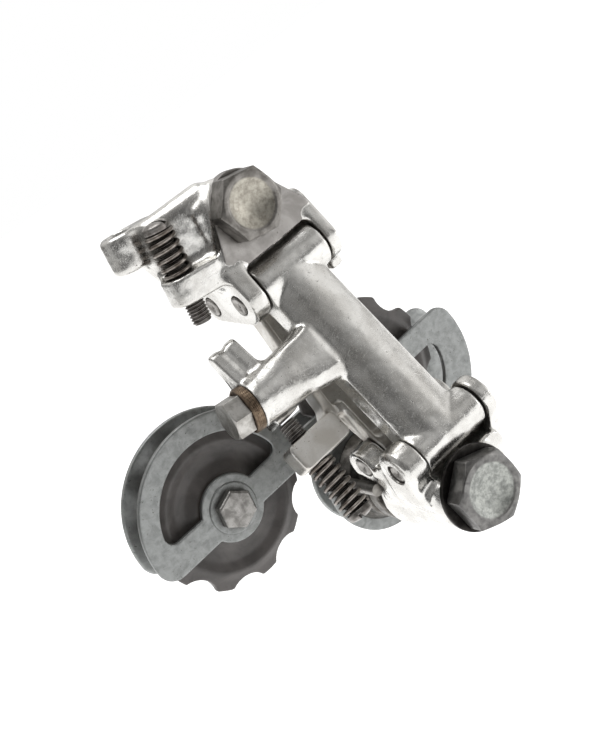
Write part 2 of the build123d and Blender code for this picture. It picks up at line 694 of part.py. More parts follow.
def pulley(name, axis, turn):
    """Build a toothed pulley: a thin scalloped rim, a dished web and a wide hub."""
    centre = outboard(CAGE_MID_Y, axis[0], axis[1])
    half = PULLEY_WIDTH / 2
    tooth = TOOTH_WIDTH / 2
    with BuildPart() as wheel:
        with BuildSketch(along_axis(centre)):
            with BuildLine():
                Polyline(
                    (BUSH_R + FIT, -half),
                    (BUSH_R + FIT, half),
                    (8.8, half),
                    (11.5, 1.9),
                    (14.0, 1.9),
                    (16.8, half - 0.4),
                    (19.0, tooth + 0.3),
                    (TIP_R, tooth - 0.4),
                    (TIP_R, 0.4 - tooth),
                    (19.0, -tooth - 0.3),
                    (16.8, 0.4 - half),
                    (14.0, -1.9),
                    (11.5, -1.9),
                    (8.8, -half),
                    close=True,
                )
            make_face()
        revolve(axis=Axis(centre.origin, (0, 1, 0)))
        with BuildSketch(centre.offset(-half)):
            with PolarLocations(TIP_R - SCALLOP_DEPTH + SCALLOP_R, TEETH, start_angle=turn):
                Circle(SCALLOP_R)
        extrude(amount=PULLEY_WIDTH, mode=Mode.SUBTRACT)
    save(wheel.part, name)


pulley("tension_pulley", TENSION_AXIS, 0)
pulley("guide_pulley", GUIDE_AXIS, 0)
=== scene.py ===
import json
import math

import bmesh
import bpy
import numpy as np
from mathutils import Matrix, Vector


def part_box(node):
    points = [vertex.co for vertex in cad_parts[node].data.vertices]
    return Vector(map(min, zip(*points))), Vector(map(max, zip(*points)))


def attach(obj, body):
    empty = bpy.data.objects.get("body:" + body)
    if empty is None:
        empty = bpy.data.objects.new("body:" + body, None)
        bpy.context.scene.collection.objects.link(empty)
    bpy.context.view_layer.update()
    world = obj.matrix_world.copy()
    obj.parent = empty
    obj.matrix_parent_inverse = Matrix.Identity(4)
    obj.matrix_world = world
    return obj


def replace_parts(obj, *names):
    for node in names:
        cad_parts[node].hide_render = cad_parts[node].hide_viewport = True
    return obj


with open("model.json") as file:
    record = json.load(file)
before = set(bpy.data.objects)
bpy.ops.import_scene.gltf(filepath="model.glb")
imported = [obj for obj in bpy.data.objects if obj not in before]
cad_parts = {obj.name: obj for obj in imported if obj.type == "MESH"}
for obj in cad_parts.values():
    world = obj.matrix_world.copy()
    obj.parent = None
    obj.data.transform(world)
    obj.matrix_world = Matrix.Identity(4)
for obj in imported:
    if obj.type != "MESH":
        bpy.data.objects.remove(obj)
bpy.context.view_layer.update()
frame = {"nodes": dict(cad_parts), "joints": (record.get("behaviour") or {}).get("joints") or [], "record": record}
RECORD = frame["record"]
JOINTS = {j["name"]: j for j in frame["joints"]}
SLOT_OF = {s["node"]: s["material_slot"] for s in RECORD["subparts"]}
BODY_OF = {n: b for b, nodes in RECORD["behaviour"]["bodies"].items() for n in nodes}
MM = 0.001
# radius, in millimetres, that stands for a turned profile's axis
ON_AXIS = 0.001


# ---- meshes: worked in millimetres, in the CAD frame ----
def mm_box(node):
    low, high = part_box(node)
    return np.array(low) / MM, np.array(high) / MM


def clone(node):
    """Copy of a CAD node's mesh in millimetres, with its split points joined."""
    mesh = frame["nodes"][node].data.copy()
    mesh.transform(Matrix.Scale(1 / MM, 4))
    mesh.materials.clear()
    bm = bmesh.new()
    bm.from_mesh(mesh)
    bmesh.ops.remove_doubles(bm, verts=bm.verts, dist=0.0005)
    bm.to_mesh(mesh)
    bm.free()
    if "custom_normal" in mesh.attributes:
        mesh.attributes.remove(mesh.attributes["custom_normal"])
    return mesh


def from_arrays(name, points, faces):
    mesh = bpy.data.meshes.new(name)
    mesh.from_pydata([tuple(p) for p in points], [], [tuple(f) for f in faces])
    mesh.validate()
    bm = bmesh.new()
    bm.from_mesh(mesh)
    bmesh.ops.recalc_face_normals(bm, faces=bm.faces)
    bm.to_mesh(mesh)
    bm.free()
    return mesh


def merged(meshes):
    """One mesh that holds all of these."""
    bm = bmesh.new()
    for mesh in meshes:
        bm.from_mesh(mesh)
    result = bpy.data.meshes.new("merged")
    bm.to_mesh(result)
    bm.free()
    return result


def modified(mesh, *modifiers):
    """The mesh after these modifiers, each (type, settings)."""
    obj = bpy.data.objects.new("work", mesh)
    bpy.context.scene.collection.objects.link(obj)
    for kind, settings in modifiers:
        modifier = obj.modifiers.new(kind, kind)
        for key, value in settings.items():
            setattr(modifier, key, value)
    result = bpy.data.meshes.new_from_object(obj.evaluated_get(bpy.context.evaluated_depsgraph_get()))
    bpy.data.objects.remove(obj)
    return result


def carved(mesh, cutter):
    tool = bpy.data.objects.new("cutter", cutter)
    bpy.context.scene.collection.objects.link(tool)
    result = modified(mesh, ("BOOLEAN", {"operation": "DIFFERENCE", "object": tool, "solver": "EXACT"}))
    bpy.data.objects.remove(tool)
    return result


def softened(mesh, voxel, rounds):
    """Voxel skin over the mesh, with its edges rounded by smoothing."""
    return modified(
        mesh,
        ("REMESH", {"mode": "VOXEL", "voxel_size": voxel, "use_smooth_shade": True}),
        ("SMOOTH", {"factor": 0.5, "iterations": rounds}),
    )


def filled_in(mesh, voxel, reach, rounds):
    """Voxel skin whose inner corners are filled to about this radius, as a casting's are."""
    voxels = ("REMESH", {"mode": "VOXEL", "voxel_size": voxel, "use_smooth_shade": True})
    return modified(
        mesh,
        voxels,
        ("DISPLACE", {"strength": reach, "mid_level": 0.0}),
        voxels,
        ("DISPLACE", {"strength": -reach, "mid_level": 0.0}),
        voxels,
        ("SMOOTH", {"factor": 0.5, "iterations": rounds}),
    )


def hulled(bm, name):
    """Mesh of the convex hull of these points; it frees them."""
    hull = bmesh.ops.convex_hull(bm, input=bm.verts)
    inside = hull["geom_interior"] + hull["geom_unused"]
    stray = {g for g in inside if isinstance(g, bmesh.types.BMVert)}
    bmesh.ops.delete(bm, geom=list(stray), context="VERTS")
    mesh = bpy.data.meshes.new(name)
    bm.to_mesh(mesh)
    bm.free()
    return mesh


def limb(*balls):
    """Convex skin around balls given as (x, y, z, radius)."""
    bm = bmesh.new()
    for x, y, z, r in balls:
        bmesh.ops.create_icosphere(bm, subdivisions=3, radius=r, matrix=Matrix.Translation((x, y, z)))
    return hulled(bm, "limb")


def slab(circles, front_y, back_y):
    """Flat convex plate across y around circles given as (x, z, radius)."""
    bm = bmesh.new()
    for x, z, r in circles:
        for k in range(96):
            a = 2 * math.pi * k / 96
            for y in (front_y, back_y):
                bm.verts.new((x + r * math.cos(a), y, z + r * math.sin(a)))
    return hulled(bm, "slab")


def rod_x(low_x, high_x, y, z, r):
    """Round rod along x."""
    length = high_x - low_x
    profile = [(ON_AXIS, 0.0), (r, 0.0), (r, length), (ON_AXIS, length)]
    return lathe(profile, basis((low_x, y, z), (1, 0, 0)), 64)


def show_detail(mesh, name, node, material=None):
    """Put a millimetre mesh into the scene as a detail that rides with a CAD node."""
    mesh.transform(Matrix.Scale(MM, 4))
    for polygon in mesh.polygons:
        polygon.use_smooth = True
    obj = bpy.data.objects.new(name, mesh)
    bpy.context.scene.collection.objects.link(obj)
    slot = SLOT_OF[node]
    mesh.materials.clear()
    mesh.materials.append(MATERIALS[material or slot])
    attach(obj, BODY_OF[node])
    return obj


def show(mesh, node, material=None):
    """Put a millimetre mesh into the scene in place of its CAD node."""
    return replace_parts(show_detail(mesh, node + "_skin", node, material), node)


def basis(origin, direction, side=(0.0, 0.3, 1.0)):
    """Matrix whose z is the direction, at the origin."""
    z = Vector(direction).normalized()
    x = Vector(side).cross(z)
    if x.length < 0.1:
        x = Vector((1, 0, 0)).cross(z)
    x.normalize()
    y = z.cross(x)
    rows = [(x[k], y[k], z[k], origin[k]) for k in range(3)]
    return Matrix((*rows, (0, 0, 0, 1)))


def lathe(profile, place, segments=128):
    """Closed profile of (radius, height) turned about the place's z."""
    turns = np.linspace(0, 2 * math.pi, segments, endpoint=False)
    points = [place @ Vector((r * math.cos(a), r * math.sin(a), h)) for a in turns for r, h in profile]
    count = len(profile)
    faces = []
    for i in range(segments):
        here = i * count
        there = (i + 1) % segments * count
        for j in range(count):
            after = (j + 1) % count
            faces.append((here + j, there + j, there + after, here + after))
    return from_arrays("lathe", points, faces)


def ring_faces(rings, sides):
    """Faces between successive rings of points, with both ends closed."""
    faces = []
    for k in range(rings - 1):
        for i in range(sides):
            j = (i + 1) % sides
            low, high = k * sides, (k + 1) * sides
            faces.append((low + i, low + j, high + j, high + i))
    faces.append(tuple(range(sides))[::-1])
    faces.append(tuple(range((rings - 1) * sides, rings * sides)))
    return faces


def thread(place, radius, pitch, depth, low, high, segments=72, taper=0.7):
    """Solid rod with a real helical thread between two heights on the place's z."""
    steps = max(8, int((high - low) / pitch * 14))
    points = []
    for k in range(steps + 1):
        h = low + (high - low) * k / steps
        fade = min(1.0, (h - low) / (taper * pitch))
        for i in range(segments):
            a = 2 * math.pi * i / segments
            phase = (h / pitch - i / segments) % 1.0
            cut = depth * (0.5 - 0.5 * math.cos(2 * math.pi * phase))
            r = radius - max(cut, depth * (1 - fade))
            points.append(place @ Vector((r * math.cos(a), r * math.sin(a), h)))
    return from_arrays("thread", points, ring_faces(steps + 1, segments))


def tube(path, radius, sides=14):
    """Round wire along a list of points, with domed ends."""
    path = [Vector(p) for p in path]
    points = []
    normal = None
    last = len(path) - 1
    for k, p in enumerate(path):
        t = (path[min(k + 1, last)] - path[max(k - 1, 0)]).normalized()
        if normal is None:
            normal = t.orthogonal().normalized()
        normal = (normal - t * normal.dot(t)).normalized()
        other = t.cross(normal)
        r = radius * (0.55 if k in (0, last) else 1.0)
        for i in range(sides):
            a = 2 * math.pi * i / sides
            points.append(p + normal * (r * math.cos(a)) + other * (r * math.sin(a)))
    return from_arrays("tube", points, ring_faces(len(path), sides))


def coil(place, mean_r, wire_r, length, turns, phase=0.0):
    """Compression spring on the place's z, its end turns closed up and its ends ground."""
    path = []
    steps = int(turns * 40)
    for k in range(steps + 1):
        t = k / steps
        a = 2 * math.pi * turns * t + phase
        # the first and last turns lie almost flat
        closed = 0.8 / turns
        if t < closed:
            rise = 0.45 * t * t / closed
        elif t > 1 - closed:
            rise = 1 - 0.45 * (1 - t) ** 2 / closed
        else:
            edge = 0.45 * closed
            rise = edge + (t - closed) / (1 - 2 * closed) * (1 - 2 * edge)
        h = wire_r + (length - 2 * wire_r) * rise
        path.append(place @ Vector((mean_r * math.cos(a), mean_r * math.sin(a), h)))
    return tube(path, wire_r)


# ---- materials ----
def srgb(hex_code):
    values = [int(hex_code[i : i + 2], 16) / 255 for i in (0, 2, 4)]
    return [v / 12.92 if v <= 0.04045 else ((v + 0.055) / 1.055) ** 2.4 for v in values] + [1]


class Nodes:
    """Small helper to write a material's nodes."""

    def __init__(self, material):
        material.use_nodes = True
        self.tree = material.node_tree
        self.shader = next(n for n in self.tree.nodes if n.type == "BSDF_PRINCIPLED")
        self.where = self.add("ShaderNodeTexCoord").outputs["Object"]

    def add(self, kind, **settings):
        node = self.tree.nodes.new(kind)
        for key, value in settings.items():
            setattr(node, key, value)
        return node

    def put(self, socket, value):
        if hasattr(value, "is_output"):
            self.tree.links.new(value, socket)
        else:
            socket.default_value = value

    def scaled(self, scale, turn=(0, 0, 0)):
        node = self.add("ShaderNodeMapping")
        self.put(node.inputs["Vector"], self.where)
        node.inputs["Scale"].default_value = scale
        node.inputs["Rotation"].default_value = turn
        return node.outputs["Vector"]

    def noise(self, size_mm, detail=4.0, rough=0.55, vector=None, distortion=0.0):
        node = self.add("ShaderNodeTexNoise")
        self.put(node.inputs["Vector"], vector or self.where)
        node.inputs["Scale"].default_value = 1 / (size_mm * MM)
        node.inputs["Detail"].default_value = detail
        node.inputs["Roughness"].default_value = rough
        node.inputs["Distortion"].default_value = distortion
        return node.outputs["Fac"]

    def span(self, value, low, high, to_low=0.0, to_high=1.0):
        node = self.add("ShaderNodeMapRange", interpolation_type="SMOOTHSTEP")
        self.put(node.inputs["Value"], value)
        for socket, v in zip(("From Min", "From Max", "To Min", "To Max"), (low, high, to_low, to_high)):
            node.inputs[socket].default_value = v
        return node.outputs["Result"]

    def maths(self, operation, a, b=0.0):
        node = self.add("ShaderNodeMath", operation=operation)
        self.put(node.inputs[0], a)
        self.put(node.inputs[1], b)
        return node.outputs[0]

    def mix(self, factor, a, b, blend="MIX"):
        node = self.add("ShaderNodeMix", data_type="RGBA", blend_type=blend)
        self.put(node.inputs["Factor"], factor)
        self.put(node.inputs[6], a)
        self.put(node.inputs[7], b)
        return node.outputs[2]

    def bump(self, height, distance_mm, strength=1.0, under=None):
        node = self.add("ShaderNodeBump")
        node.inputs["Strength"].default_value = strength
        node.inputs["Distance"].default_value = distance_mm * MM
        self.put(node.inputs["Height"], height)
        if under:
            self.put(node.inputs["Normal"], under)
        return node.outputs["Normal"]

    def dished(self, colour, centre, radius, light, dark):
        """Mottled tone inside a bolt head's dish; centre is its x and z in millimetres."""
        away = self.add("ShaderNodeVectorMath", operation="DISTANCE")
        flat = self.add("ShaderNodeVectorMath", operation="MULTIPLY")
        self.put(flat.inputs[0], self.where)
        flat.inputs[1].default_value = (1, 0, 1)
        self.put(away.inputs[0], flat.outputs[0])
        away.inputs[1].default_value = (centre[0] * MM, 0, centre[1] * MM)
        inside = self.span(away.outputs["Value"], (radius - 0.5) * MM, (radius + 0.1) * MM, 1.0, 0.0)
        mottle = self.mix(self.span(self.noise(1.5, 7, 0.75), 0.34, 0.68), srgb(dark), srgb(light))
        return self.mix(inside, colour, mottle)

    def crevice(self, reach_mm=2.5):
        """1 in corners and gaps, 0 in the open."""
        node = self.add("ShaderNodeAmbientOcclusion", samples=6)
        node.inputs["Distance"].default_value = reach_mm * MM
        return self.span(node.outputs["AO"], 0.35, 0.92, 1.0, 0.0)


def metal(
    slot,
    base,
    dark,
    hollow_tone,
    rough,
    patch_mm,
    pits,
    scratches,
    crevice_shade_amount,
    bump_mm=0.012,
    wave_mm=0.03,
    dish=None,
):
    """Worn metal: patches of two tones, fine scratches, pits, and painted shade that darkens its corners and gaps.
    """
    material = bpy.data.materials.new(slot)
    n = Nodes(material)
    patches = n.span(n.noise(patch_mm, 5, 0.6, distortion=0.4), 0.35, 0.68)
    fine = n.noise(0.35, 6, 0.7)
    hair_a = n.noise(0.9, 3, 0.6, n.scaled((0.25, 5.0, 1.0), (0.3, 0.5, 0.9)))
    hair_b = n.noise(0.9, 3, 0.6, n.scaled((5.0, 0.3, 1.2), (0.8, -0.4, 0.2)))
    hair = n.maths("MAXIMUM", n.span(hair_a, 0.58, 0.68), n.span(hair_b, 0.6, 0.7))
    specks = n.span(n.noise(0.5, 2, 0.5), 0.66, 0.74)
    pit_mask = n.maths("MULTIPLY", specks, n.span(n.noise(4.5, 2), 0.42, 0.62))
    colour = n.mix(patches, srgb(base), srgb(dark))
    colour = n.mix(n.maths("MULTIPLY", pit_mask, pits), colour, srgb(hollow_tone))
    if dish:
        colour = n.dished(colour, *dish)
    # painted shade: corners and gaps found by ambient occlusion are darkened toward the hollow tone, patchy by
    # noise
    corner = n.crevice()
    painted_shade_mask = n.maths("MULTIPLY", corner, n.span(n.noise(1.6, 4, 0.6), 0.25, 0.6, 0.45, 1.0))
    colour = n.mix(n.maths("MULTIPLY", painted_shade_mask, crevice_shade_amount), colour, srgb(hollow_tone))
    n.put(n.shader.inputs["Base Color"], colour)
    n.shader.inputs["Metallic"].default_value = 1.0
    roughness = n.span(fine, 0.25, 0.8, *rough)
    roughness = n.maths("ADD", roughness, n.maths("MULTIPLY", hair, scratches * 0.2))
    roughness = n.maths("ADD", roughness, n.maths("MULTIPLY", patches, 0.06))
    roughness = n.maths("ADD", roughness, n.maths("MULTIPLY", painted_shade_mask, 0.3 * crevice_shade_amount))
    n.put(n.shader.inputs["Roughness"], roughness)
    normal = n.bump(n.noise(6.5, 2, 0.5), wave_mm, 0.6)
    normal = n.bump(n.noise(2.8, 3, 0.5), bump_mm * 2.2, 0.5, normal)
    normal = n.bump(fine, bump_mm, 0.5, normal)
    marks = n.maths("ADD", n.maths("MULTIPLY", hair, -scratches), n.maths("MULTIPLY", pit_mask, -3 * pits))
    normal = n.bump(marks, bump_mm, 0.6, normal)
    n.put(n.shader.inputs["Normal"], normal)
    return material


def plastic(slot, base, dark, hollow_tone):
    """Worn dark plastic with a satin face and dust in its hollows."""
    material = bpy.data.materials.new(slot)
    n = Nodes(material)
    patches = n.span(n.noise(7.0, 5, 0.6, distortion=0.5), 0.35, 0.7)
    fine = n.noise(0.4, 6, 0.7)
    colour = n.mix(patches, srgb(base), srgb(dark))
    colour = n.mix(n.maths("MULTIPLY", n.crevice(2.0), 0.5), colour, srgb(hollow_tone))
    n.put(n.shader.inputs["Base Color"], colour)
    n.put(n.shader.inputs["Roughness"], n.span(fine, 0.2, 0.8, 0.3, 0.52))
    normal = n.bump(n.noise(1.8, 3, 0.5), 0.03, 0.5)
    n.put(n.shader.inputs["Normal"], n.bump(fine, 0.012, 0.6, normal))
    return material


ALLOY = {
    "rough": (0.13, 0.29),
    "patch_mm": 8.0,
    "pits": 0.8,
    "scratches": 0.7,
    "crevice_shade_amount": 0.75,
    "bump_mm": 0.018,
    "wave_mm": 0.62,
}
STEEL = {"rough": (0.24, 0.44), "patch_mm": 2.4, "pits": 0.85, "scratches": 0.7, "crevice_shade_amount": 0.85}
PLATE = {**STEEL, "patch_mm": 2.0, "rough": (0.36, 0.54)}
PRESSED = {**STEEL, "patch_mm": 7.0, "crevice_shade_amount": 0.6}
# centre in x and z, radius, and the light and dark tones of each bolt head's dish
HANGER_DISH = ((0.0, 0.0), 6.0, "B8B4A9", "8B867D")
PIVOT_DISH = ((-1.2, -81.0), 6.7, "B5B7B2", "7E807D")
# each metal's fourth colour darkens its pits and is also the painted shade in its corners and gaps
MATERIALS = {
    "body_alloy": metal("body_alloy", "E4E3E0", "CBC9C5", "51473A", **ALLOY),
    "plate_face": metal("plate_face", "A5A29F", "8A8784", "45403A", **{**STEEL, "patch_mm": 6.0}),
    "link_alloy": metal("link_alloy", "E4E3E0", "CBC9C5", "4A443D", **ALLOY),
    "knuckle_alloy": metal("knuckle_alloy", "E4E3E0", "CBC9C5", "4A443D", **ALLOY),
    "bolt_steel": metal("bolt_steel", "A09E9B", "74726F", "3E3A36", **STEEL),
    "hanger_head": metal("hanger_head", "8E8B87", "6B6864", "3E3A36", **STEEL, dish=HANGER_DISH),
    "pivot_head": metal("pivot_head", "82817F", "605F5E", "33302D", **STEEL, dish=PIVOT_DISH),
    "anchor_head": metal("anchor_head", "C4C2BE", "9A9792", "4A453F", **STEEL),
    "screw_steel": metal("screw_steel", "A09D9A", "726D69", "2E2823", **{**STEEL, "crevice_shade_amount": 0.7}),
    "spring_steel": metal("spring_steel", "A09A94", "655D56", "2E2721", **{**STEEL, "crevice_shade_amount": 0.65}),
    "pin_steel": metal("pin_steel", "AFACA8", "85827E", "45403A", **STEEL),
    "inner_link_steel": metal("inner_link_steel", "E4E2DE", "CCC8C1", "6A5846", **PRESSED),
    "washer_steel": metal("washer_steel", "8C7B69", "5E5043", "33271D", **STEEL),
    "pivot_washer_steel": metal("pivot_washer_steel", "3C3A38", "262423", "141211", **STEEL),
    "hub_steel": metal("hub_steel", "84817D", "5C5955", "2A2622", **STEEL),
    "cage_steel": metal("cage_steel", "989A99", "888A89", "4C4843", **{**PLATE, "crevice_shade_amount": 0.55}),
    # painted light: a lighter copy of the cage steel with less corner shade, standing in for light on the far
    # plate, which the near plate shades
    "far_plate": metal("far_plate", "ABADAC", "979998", "55514C", **{**PLATE, "crevice_shade_amount": 0.3}),
    "bushing_bronze": metal("bushing_bronze", "9C7443", "6E4F2C", "2E2116", **STEEL),
    "pulley_plastic": plastic("pulley_plastic", "5A5654", "454240", "5E574F"),
}

for node, obj in frame["nodes"].items():
    obj.data.materials.clear()
    obj.data.materials.append(MATERIALS[SLOT_OF[node]])

# ---- cast bodies: the CAD solids with their inner corners filled and flowing webs added ----
LEAN = math.radians(24.75)
UP_LINK = Vector((0, math.sin(LEAN), math.cos(LEAN)))
OFF_LINK = Vector((0, -math.cos(LEAN), math.sin(LEAN)))
OUTER_PIVOT = Vector(JOINTS["outer_swing"]["pos_m"]) / MM


def on_link(x, height, depth, radius):
    """Ball on the outer link: x across, height up it, depth outboard of its pivot."""
    point = OUTER_PIVOT + UP_LINK * height + OFF_LINK * depth
    return (x, point.y, point.z, radius)


upper_webs = [
    # from the cable stop to the plate
    limb(
        (-21.6, 0.6, 5.9, 3.2),
        (-21.4, 0.4, 2.0, 3.2),
        (-18.6, 0.4, -6.0, 3.2),
        (-4.6, -4.4, 5.6, 4.0),
        (-5.4, -4.8, -8.0, 4.0),
    ),
    # behind the plate's face
    limb((-7.6, -6.6, 3.6, 2.6), (-8.6, -6.4, -5.0, 2.6), (-2.0, -7.0, 5.6, 3.0), (-2.0, -7.0, -6.0, 3.0)),
    # from the limit screw's block to the left ear
    limb(
        (-17.4, -2.4, -7.4, 2.4),
        (-14.0, -5.0, -9.4, 3.0),
        (-10.0, -6.4, -14.0, 3.0),
        (-7.5, -5.4, -6.0, 3.2),
    ),
]
arm_webs = [
    # where the arm widens into the link
    limb(
        on_link(-14.0, -15.8, 1.8, 2.0),
        on_link(-14.0, -25.0, 1.8, 2.0),
        on_link(-1.0, -13.6, 1.4, 2.2),
        on_link(-1.0, -28.0, 1.4, 2.2),
    ),
    # root of the cable fork
    limb(
        on_link(-26.2, -9.2, -1.2, 1.5),
        on_link(-25.6, -16.0, -0.6, 2.8),
        on_link(-21.6, -13.6, -0.8, 1.5),
        on_link(-20.6, -17.0, -0.6, 2.8),
    ),
]


def joint_place(name, reach):
    """Place on a joint's axis, this far back along it."""
    axis = Vector(JOINTS[name]["axis"])
    return basis(Vector(JOINTS[name]["pos_m"]) / MM - axis * reach, axis)


def plug(place, *steps):
    """Solid of turned steps (radius, from, to) along the place's z."""
    outline = [(r, h) for r, start, end in steps for h in (start, end)]
    profile = [(ON_AXIS, steps[0][1]), *outline, (ON_AXIS, steps[-1][2])]
    return lathe(profile, place, 96)


SOCKET = next(m for m in RECORD["mounts"] if m["name"] == "housing_socket")
socket_place = basis(Vector(SOCKET["pos_m"]) / MM, SOCKET["axis"])
upper_bores = [
    plug(joint_place("body_swing", 12.0), (5.63, 0.0, 10.4), (6.8, 10.4, 13.4)),
    plug(joint_place("outer_swing", 30.0), (2.6, 0.0, 60.0)),
    plug(joint_place("inner_swing", 30.0), (2.6, 0.0, 60.0)),
    plug(joint_place("low_screw_turn", 16.0), (2.55, 0.0, 20.0)),
    plug(socket_place, (1.0, -9.0, -3.0), (3.1, -3.0, 6.0)),
]
upper = filled_in(merged([clone("upper_body"), *upper_webs]), 0.26, 1.7, 20)
show(softened(carved(upper, merged(upper_bores)), 0.24, 2), "upper_body")
show(filled_in(merged([clone("outer_link"), *arm_webs]), 0.26, 1.3, 26), "outer_link")
# the knuckle's outer ear stands proud of its inner ear, with a rim around each pin
OUTER_PIN = Vector(JOINTS["knuckle_swing"]["pos_m"]) / MM
EAR_X = mm_box("lower_knuckle")[0][0]
INNER_PIN_Y = (mm_box("lower_inner_pin")[0][1] + mm_box("lower_inner_pin")[1][1]) / 2
PAD_R, RIM_R = 4.7, 3.9
PAD_BALL, RIM_WIRE = 0.9, 0.75
PIN_WELL_R = 2.62


def around_pin(x, y, radius, angle):
    return (x, y + radius * math.cos(angle), OUTER_PIN.z + radius * math.sin(angle))


pad_x = EAR_X + 0.2
pad = [(*around_pin(pad_x, OUTER_PIN.y, PAD_R, a), PAD_BALL) for a in np.linspace(0.2, 3.6, 9)]
for across, down in ((-2.2, -9.0), (5.6, -7.6)):
    pad.append((pad_x, OUTER_PIN.y + across, OUTER_PIN.z + down, PAD_BALL))
rim = [around_pin(EAR_X + 0.1, INNER_PIN_Y, RIM_R, a) for a in np.linspace(-0.7, 3.9, 30)]
flank = limb(
    (-10.6, -31.0, -70.0, 2.4),
    (-8.4, -33.0, -78.6, 3.6),
    (-7.4, -21.5, -79.0, 4.2),
    (-10.4, -21.0, -72.4, 2.2),
)
knuckle = filled_in(merged([clone("lower_knuckle"), limb(*pad), tube(rim, RIM_WIRE), flank]), 0.24, 1.5, 14)
for pin_y in (OUTER_PIN.y, INNER_PIN_Y):
    knuckle = carved(knuckle, rod_x(EAR_X - 2.0, EAR_X + 0.5, pin_y, OUTER_PIN.z, PIN_WELL_R))
show(softened(knuckle, 0.2, 3), "lower_knuckle")

show(filled_in(clone("inner_link"), 0.22, 1.2, 30), "inner_link")

# crisp flat face of the upper body's plate, under the bolt's head
PLATE_Y, PLATE_DEPTH = -11.33, 3.4
plate_circles = [(0.8, 0.0, 8.25), (-10.2, -8.4, 1.0), (-7.2, -11.0, 1.0), (11.2, -11.0, 1.0), (14.8, -9.0, 1.0)]
show_detail(
    softened(slab(plate_circles, PLATE_Y, PLATE_Y + PLATE_DEPTH), 0.16, 2),
    "upper_plate_face",
    "upper_body",
    "plate_face",
)

# pins with peened ends
for node in ("upper_outer_pin", "upper_inner_pin", "lower_outer_pin", "lower_inner_pin"):
    low, high = mm_box(node)
    radius, length = (high[2] - low[2]) / 2, high[0] - low[0]
    ends = [(0.02, 0.32), (0.7, 0.3), (1.25, 0.12), (1.7, 0.03), (2.1, 0.06), (2.4, 0.22), (radius, 0.45)]
    profile = ends + [(r, length - h) for r, h in reversed(ends)]
    middle = (low + high) / 2
    place = basis((low[0], middle[1], middle[2]), (1, 0, 0))
    show(lathe(profile, place, 96), node)

# clamp washer of the cable anchor, ridged around its rim
ANCHOR = next(m for m in RECORD["mounts"] if m["name"] == "cable_anchor")
anchor_place = basis(Vector(ANCHOR["pos_m"]) / MM, ANCHOR["axis"])
thick, wide = 2.4, 5.8
rim = [(wide - 0.16 + 0.16 * math.cos(k * math.pi), 0.2 + (thick - 0.4) * k / 9) for k in range(10)]
washer = [(2.5, 0.0), (wide - 0.4, 0.0), *rim, (wide - 0.4, thick), (2.5, thick)]
show(softened(lathe(washer, anchor_place, 160), 0.11, 1), "anchor_washer")

# low round bosses around the pulley bolts on the near plate
for name, joint in (("guide", "guide_spin"), ("tension", "tension_spin")):
    axis = Vector(JOINTS[joint]["pos_m"]) / MM
    face_y = mm_box("cage_near_plate")[0][1]
    seat = basis((axis.x, face_y + 0.2, axis.z), (0, -1, 0))
    boss = [(3.0, 0.0), (6.6, 0.0), (6.5, 0.42), (6.2, 0.55), (3.0, 0.55)]
    show_detail(softened(lathe(boss, seat, 128), 0.12, 2), name + "_bolt_seat", "cage_near_plate")

# ---- turned and pressed pieces ----
OWN_MATERIALS = {
    "hanger_bolt": "hanger_head",
    "cage_pivot_bolt": "pivot_head",
    "anchor_bolt": "anchor_head",
    "cage_far_plate": "far_plate",
}
for node, voxel, rounds in (
    ("cage_near_plate", 0.2, 5),
    ("cage_far_plate", 0.2, 5),
    ("cage_hub", 0.2, 4),
    ("hanger_bolt", 0.15, 4),
    ("cage_pivot_bolt", 0.15, 4),
    ("anchor_bolt", 0.1, 2),
    ("cage_pivot_washer", 0.15, 3),
    ("pulley_bolts", 0.14, 3),
):
    show(softened(clone(node), voxel, rounds), node, OWN_MATERIALS.get(node))
for node in ("tension_pulley", "guide_pulley"):
    show(filled_in(clone(node), 0.24, 1.6, 10), node)


# ---- limit screws and their springs ----
def limit_screw(node, spring_node, joint, spring_length, tip, turns):
    seat = Vector(JOINTS[joint]["pos_m"]) / MM
    place = basis(seat, JOINTS[joint]["axis"])
    radius, head_r, head_height = 2.45, 3.3, 2.4
    top = spring_length + head_height
    dome_height = 1.15
    shoulder = top - dome_height
    head = [(0.0, spring_length), (head_r - 0.15, spring_length), (head_r, spring_length + 0.2), (head_r, shoulder)]
    for k in range(1, 13):
        a = math.pi / 2 * k / 12
        head.append((head_r * math.cos(a), shoulder + dome_height * math.sin(a)))
    dome = lathe(head, place, 96)
    slot = bpy.data.meshes.new("slot")
    bm = bmesh.new()
    bmesh.ops.create_cube(bm, size=1.0)
    bm.to_mesh(slot)
    bm.free()
    slot_size = Matrix.Diagonal((0.9, head_r * 3, 2.0, 1))
    slot.transform(place @ Matrix.Translation((0, 0, top - 0.3)) @ slot_size)
    rod = thread(place, radius, 0.8, 0.42, -tip, spring_length + 0.4)
    body = softened(carved(softened(dome, 0.12, 1), slot), 0.1, 2)
    screw = merged([body, rod])
    show(screw, node)
    spring = coil(place, 3.15, 0.5, spring_length, turns)
    show(spring, spring_node)


limit_screw("limit_screw_low", "limit_spring_low", "low_screw_turn", 11.0, 12.2, 6)
limit_screw("limit_screw_high", "limit_spring_high", "high_screw_turn", 14.0, 12.3, 8)

# ---- stage ----
CENTRE = Vector((-0.008, -0.008, -0.045))
CAMERA_AT = Vector((-0.1152, -0.2481, 0.0510))
RIGHT = Vector((0.6869, -0.5047, -0.5229))
UP = Vector((0.6200, 0.0316, 0.7840))
BACK = Vector((-0.3791, -0.8627, 0.3347))

camera = bpy.data.cameras.new("camera")
camera.lens = 55.37
camera.sensor_width = 36
camera.clip_start = 0.01
view = bpy.data.objects.new("camera", camera)
view.matrix_world = Matrix.Translation(CAMERA_AT) @ Matrix((RIGHT, UP, BACK)).transposed().to_4x4()
bpy.context.scene.collection.objects.link(view)
bpy.context.scene.camera = view

